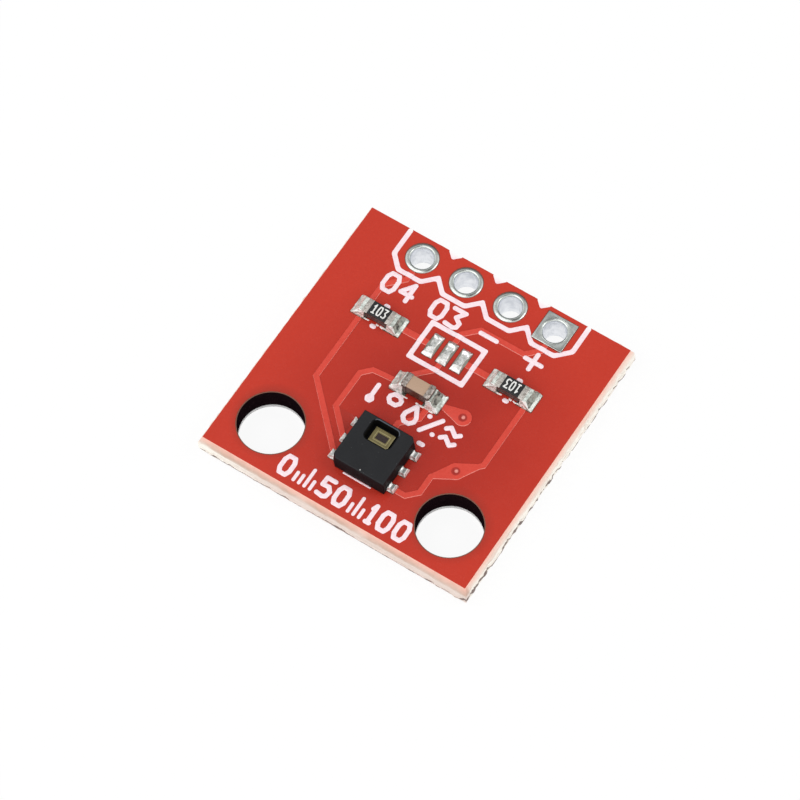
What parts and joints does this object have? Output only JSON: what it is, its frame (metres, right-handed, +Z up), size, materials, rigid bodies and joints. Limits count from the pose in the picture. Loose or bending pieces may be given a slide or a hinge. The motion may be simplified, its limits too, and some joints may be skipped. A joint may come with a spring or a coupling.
{
  "type": "temperature humidity sensor module",
  "caption": "Small square red breakout board with an open-window humidity sensor chip, pull-up resistors, a capacitor, a solder jumper, a pin header row and screw holes.",
  "frame": {"origin": "centre of the board on the plane of its underside", "axes": "+X along the header row towards the supply pin, +Y from the mounting holes to the header row, +Z up through the board to the sensor"},
  "size_m": [0.0152, 0.0152, 0.0025],
  "materials": {
    "laminate": "glass-epoxy laminate, pale, torn along the snapped edges",
    "solder_mask": "red solder mask, satin gloss",
    "ink": "pinkish white printing ink, thin",
    "copper": "bare copper under the mask",
    "tinned_pad": "tinned copper, bright",
    "solder": "reflowed solder, bright and uneven",
    "chip_terminal": "tin plating, satin",
    "resistor_ceramic": "white alumina, matt",
    "resistor_glaze": "black glaze",
    "capacitor_ceramic": "tan ceramic, satin",
    "sensor_epoxy": "black moulding compound, fine matt grain",
    "sensor_die": "dark sensing film over silicon",
    "die_metal": "olive gold metal tracks of the die"
  },
  "bodies": {
    "root": {"board_laminate": "laminate", "solder_mask_top": "solder_mask", "solder_mask_bottom": "solder_mask", "silkscreen_top": "ink", "header_pad_clock": "tinned_pad", "header_pad_data": "tinned_pad", "header_pad_ground": "tinned_pad", "header_pad_supply": "tinned_pad", "via_ground": "copper", "via_data": "copper", "track_clock": "copper", "track_clock_pullup": "copper", "track_supply": "copper", "track_data_pullup": "copper", "track_data": "copper", "track_ground": "copper", "track_spare": "copper", "track_data_return": "copper", "ground_pour": "copper", "resistor_left_ceramic": "resistor_ceramic", "resistor_left_glaze": "resistor_glaze", "resistor_left_terminals": "chip_terminal", "resistor_left_solder": "solder", "resistor_right_ceramic": "resistor_ceramic", "resistor_right_glaze": "resistor_glaze", "resistor_right_terminals": "chip_terminal", "resistor_right_solder": "solder", "capacitor_body": "capacitor_ceramic", "capacitor_terminals": "chip_terminal", "capacitor_solder": "solder", "jumper_solder": "solder", "sensor_body": "sensor_epoxy", "sensor_leads": "chip_terminal", "sensor_paddle": "chip_terminal", "sensor_die": "sensor_die", "sensor_die_frame": "die_metal", "sensor_solder": "solder"}
  },
  "joints": []
}
